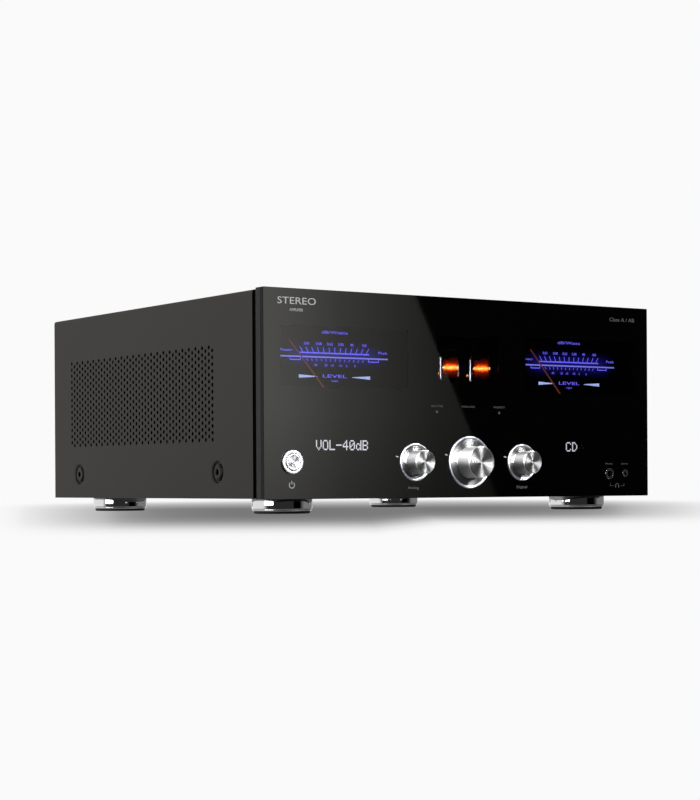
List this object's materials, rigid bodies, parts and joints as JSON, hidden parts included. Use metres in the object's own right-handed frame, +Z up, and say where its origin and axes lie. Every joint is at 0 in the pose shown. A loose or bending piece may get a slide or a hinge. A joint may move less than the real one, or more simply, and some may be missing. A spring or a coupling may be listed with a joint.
{
  "type": "integrated amplifier",
  "caption": "Full-width hi-fi amplifier with a gloss black front, lit power meters, a window with glowing valves, turned knobs and chrome feet.",
  "frame": {"origin": "centre of the whole object's footprint box, on the surface that the feet stand on", "axes": "+X to the right seen from the front, +Y from the front to the back, +Z up"},
  "size_m": [0.43, 0.4496, 0.1916],
  "materials": {
    "gloss_black": "polished acrylic",
    "anodised_black": "black anodised, satin",
    "smoked_pane": "smoked clear",
    "display_glass": "gloss black with lit dots",
    "matt_black_steel": "matt black",
    "painted_steel_dark": "fine satin powder coat, dark warm grey",
    "painted_steel_black": "satin black",
    "zinc_plated_steel": "plain zinc plate",
    "black_oxide_steel": "black oxide",
    "chrome": "polished",
    "rubber_black": "matt",
    "turned_aluminium": "turned face, polished rim",
    "shaft_steel": "ground",
    "satin_aluminium": "turned, satin",
    "nickel_plate": "nickel plate",
    "circuit_board_green": "solder mask",
    "meter_case_black": "moulded, matt",
    "meter_dial_black": "black with lit blue scale",
    "movement_steel": "plain",
    "needle_red": "matt red",
    "valve_glass": "clear",
    "transformer_winding": "enamelled copper over an iron core",
    "heatsink_aluminium": "extruded",
    "capacitor_sleeve": "shrink sleeve",
    "socket_plastic": "moulded black",
    "plated_brass": "gold plate"
  },
  "bodies": {
    "case": {"fascia": "gloss_black", "front_frame": "anodised_black", "meter_window_left": "smoked_pane", "meter_window_right": "smoked_pane", "tube_window": "smoked_pane", "display_left": "display_glass", "display_right": "display_glass", "front_bulkhead": "matt_black_steel", "top_cover": "painted_steel_dark", "rear_panel": "painted_steel_black", "bottom_chassis": "zinc_plated_steel", "cover_screw_front_left": "black_oxide_steel", "cover_screw_front_right": "black_oxide_steel", "cover_screw_rear_left": "black_oxide_steel", "cover_screw_rear_right": "black_oxide_steel", "foot_shell_front_left": "chrome", "foot_shell_front_right": "chrome", "foot_shell_rear_left": "chrome", "foot_shell_rear_right": "chrome", "foot_pad_front_left": "rubber_black", "foot_pad_front_right": "rubber_black", "foot_pad_rear_left": "rubber_black", "foot_pad_rear_right": "rubber_black", "power_bezel": "satin_aluminium", "headphone_jack_large": "nickel_plate", "headphone_jack_small": "nickel_plate", "front_control_board": "circuit_board_green", "main_board": "circuit_board_green", "tube_socket_board": "circuit_board_green", "meter_left_housing": "meter_case_black", "meter_right_housing": "meter_case_black", "meter_left_dial": "meter_dial_black", "meter_right_dial": "meter_dial_black", "meter_left_movement": "movement_steel", "meter_right_movement": "movement_steel", "tube_left": "valve_glass", "tube_right": "valve_glass", "transformer": "transformer_winding", "heatsink_left": "heatsink_aluminium", "heatsink_right": "heatsink_aluminium", "capacitor_left": "capacitor_sleeve", "capacitor_right": "capacitor_sleeve", "mains_inlet": "socket_plastic", "speaker_terminal_plate": "socket_plastic", "rca_block": "socket_plastic", "digital_block": "socket_plastic"},
    "volume": {"volume_knob": "turned_aluminium", "volume_shaft": "shaft_steel"},
    "left_selector": {"left_selector_knob": "turned_aluminium", "left_selector_shaft": "shaft_steel"},
    "right_selector": {"right_selector_knob": "turned_aluminium", "right_selector_shaft": "shaft_steel"},
    "power_button": {"power_button": "satin_aluminium"},
    "needle_left": {"meter_left_needle": "needle_red"},
    "needle_right": {"meter_right_needle": "needle_red"},
    "rocker": {"mains_rocker": "socket_plastic"},
    "terminal_cap_1": {"speaker_terminal_cap_1": "plated_brass"},
    "terminal_cap_2": {"speaker_terminal_cap_2": "plated_brass"},
    "terminal_cap_3": {"speaker_terminal_cap_3": "plated_brass"},
    "terminal_cap_4": {"speaker_terminal_cap_4": "plated_brass"}
  },
  "joints": [
    {"name": "volume_turn", "type": "hinge", "parent": "case", "child": "volume", "pos_m": [0, -0.2058, 0.0443], "axis": [0, 1, 0], "continuous": true},
    {"name": "left_selector_turn", "type": "hinge", "parent": "case", "child": "left_selector", "pos_m": [-0.06, -0.2058, 0.0443], "axis": [0, 1, 0], "continuous": true},
    {"name": "right_selector_turn", "type": "hinge", "parent": "case", "child": "right_selector", "pos_m": [0.06, -0.2058, 0.0443], "axis": [0, 1, 0], "continuous": true},
    {"name": "power_press", "type": "slide", "parent": "case", "child": "power_button", "axis": [0, 1, 0], "range_m": [0, 0.0012], "stiffness_N_per_m": 600},
    {"name": "needle_left_swing", "type": "hinge", "parent": "case", "child": "needle_left", "pos_m": [-0.132, -0.1898, 0.0943], "axis": [0, 1, 0], "range_deg": [0, 82], "stiffness_Nm_per_rad": 0.002, "springref_deg": -5.73},
    {"name": "needle_right_swing", "type": "hinge", "parent": "case", "child": "needle_right", "pos_m": [0.132, -0.1898, 0.0943], "axis": [0, 1, 0], "range_deg": [0, 82], "stiffness_Nm_per_rad": 0.002, "springref_deg": -5.73},
    {"name": "mains_rocker_tip", "type": "hinge", "parent": "case", "child": "rocker", "pos_m": [-0.1415, 0.1967, 0.0428], "axis": [1, 0, 0], "range_deg": [-16, 0]},
    {"name": "terminal_cap_1_turn", "type": "hinge", "parent": "case", "child": "terminal_cap_1", "pos_m": [-0.048, 0.1998, 0.0478], "axis": [0, 1, 0], "continuous": true},
    {"name": "terminal_cap_2_turn", "type": "hinge", "parent": "case", "child": "terminal_cap_2", "pos_m": [-0.02, 0.1998, 0.0478], "axis": [0, 1, 0], "continuous": true},
    {"name": "terminal_cap_3_turn", "type": "hinge", "parent": "case", "child": "terminal_cap_3", "pos_m": [0.02, 0.1998, 0.0478], "axis": [0, 1, 0], "continuous": true},
    {"name": "terminal_cap_4_turn", "type": "hinge", "parent": "case", "child": "terminal_cap_4", "pos_m": [0.048, 0.1998, 0.0478], "axis": [0, 1, 0], "continuous": true}
  ]
}
